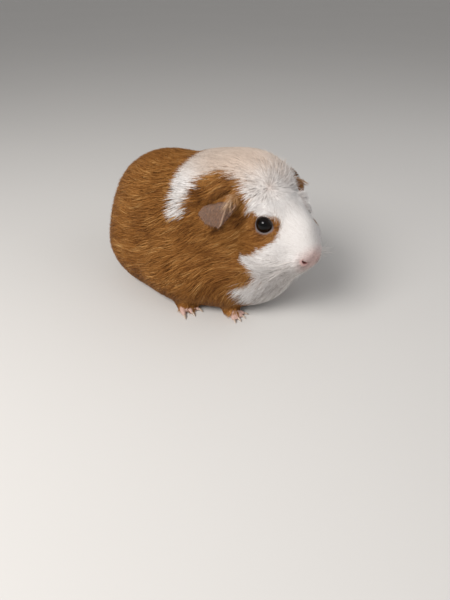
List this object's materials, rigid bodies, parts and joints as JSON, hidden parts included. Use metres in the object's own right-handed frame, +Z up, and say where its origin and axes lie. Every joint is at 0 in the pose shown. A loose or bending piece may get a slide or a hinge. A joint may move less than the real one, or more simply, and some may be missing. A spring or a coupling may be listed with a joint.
{
  "type": "guinea pig",
  "caption": "Life-size guinea pig crouched at rest, ginger and white, with a short coat, a crown rosette, drooping ears and its head turned a little to one side.",
  "frame": {"origin": "middle of the animal's box, on the floor it rests on", "axes": "+Z up, -Y forwards along the trunk, -X to the animal's right"},
  "size_m": [0.1346, 0.2146, 0.1289],
  "materials": {
    "ginger_coat": "short ginger fur, amber tips over darker roots",
    "white_coat": "short white fur, faintly pink where the skin shows",
    "bare_skin": "thin bare skin, grey-brown on the ears and pink on nose and feet",
    "eye": "wet, glossy, near-black dark brown",
    "claw": "smooth translucent horn"
  },
  "bodies": {
    "root": {"trunk": "ginger_coat", "neck": "white_coat", "head": "white_coat", "front_leg_right": "ginger_coat", "hind_leg_right": "ginger_coat", "ear_right": "bare_skin", "front_foot_right": "bare_skin", "hind_foot_right": "bare_skin", "eye_right": "eye", "claw_front_right_1": "claw", "claw_front_right_2": "claw", "claw_front_right_3": "claw", "claw_front_right_4": "claw", "claw_hind_right_1": "claw", "claw_hind_right_2": "claw", "claw_hind_right_3": "claw", "front_leg_left": "ginger_coat", "hind_leg_left": "ginger_coat", "ear_left": "bare_skin", "front_foot_left": "bare_skin", "hind_foot_left": "bare_skin", "eye_left": "eye", "claw_front_left_1": "claw", "claw_front_left_2": "claw", "claw_front_left_3": "claw", "claw_front_left_4": "claw", "claw_hind_left_1": "claw", "claw_hind_left_2": "claw", "claw_hind_left_3": "claw"}
  },
  "joints": []
}
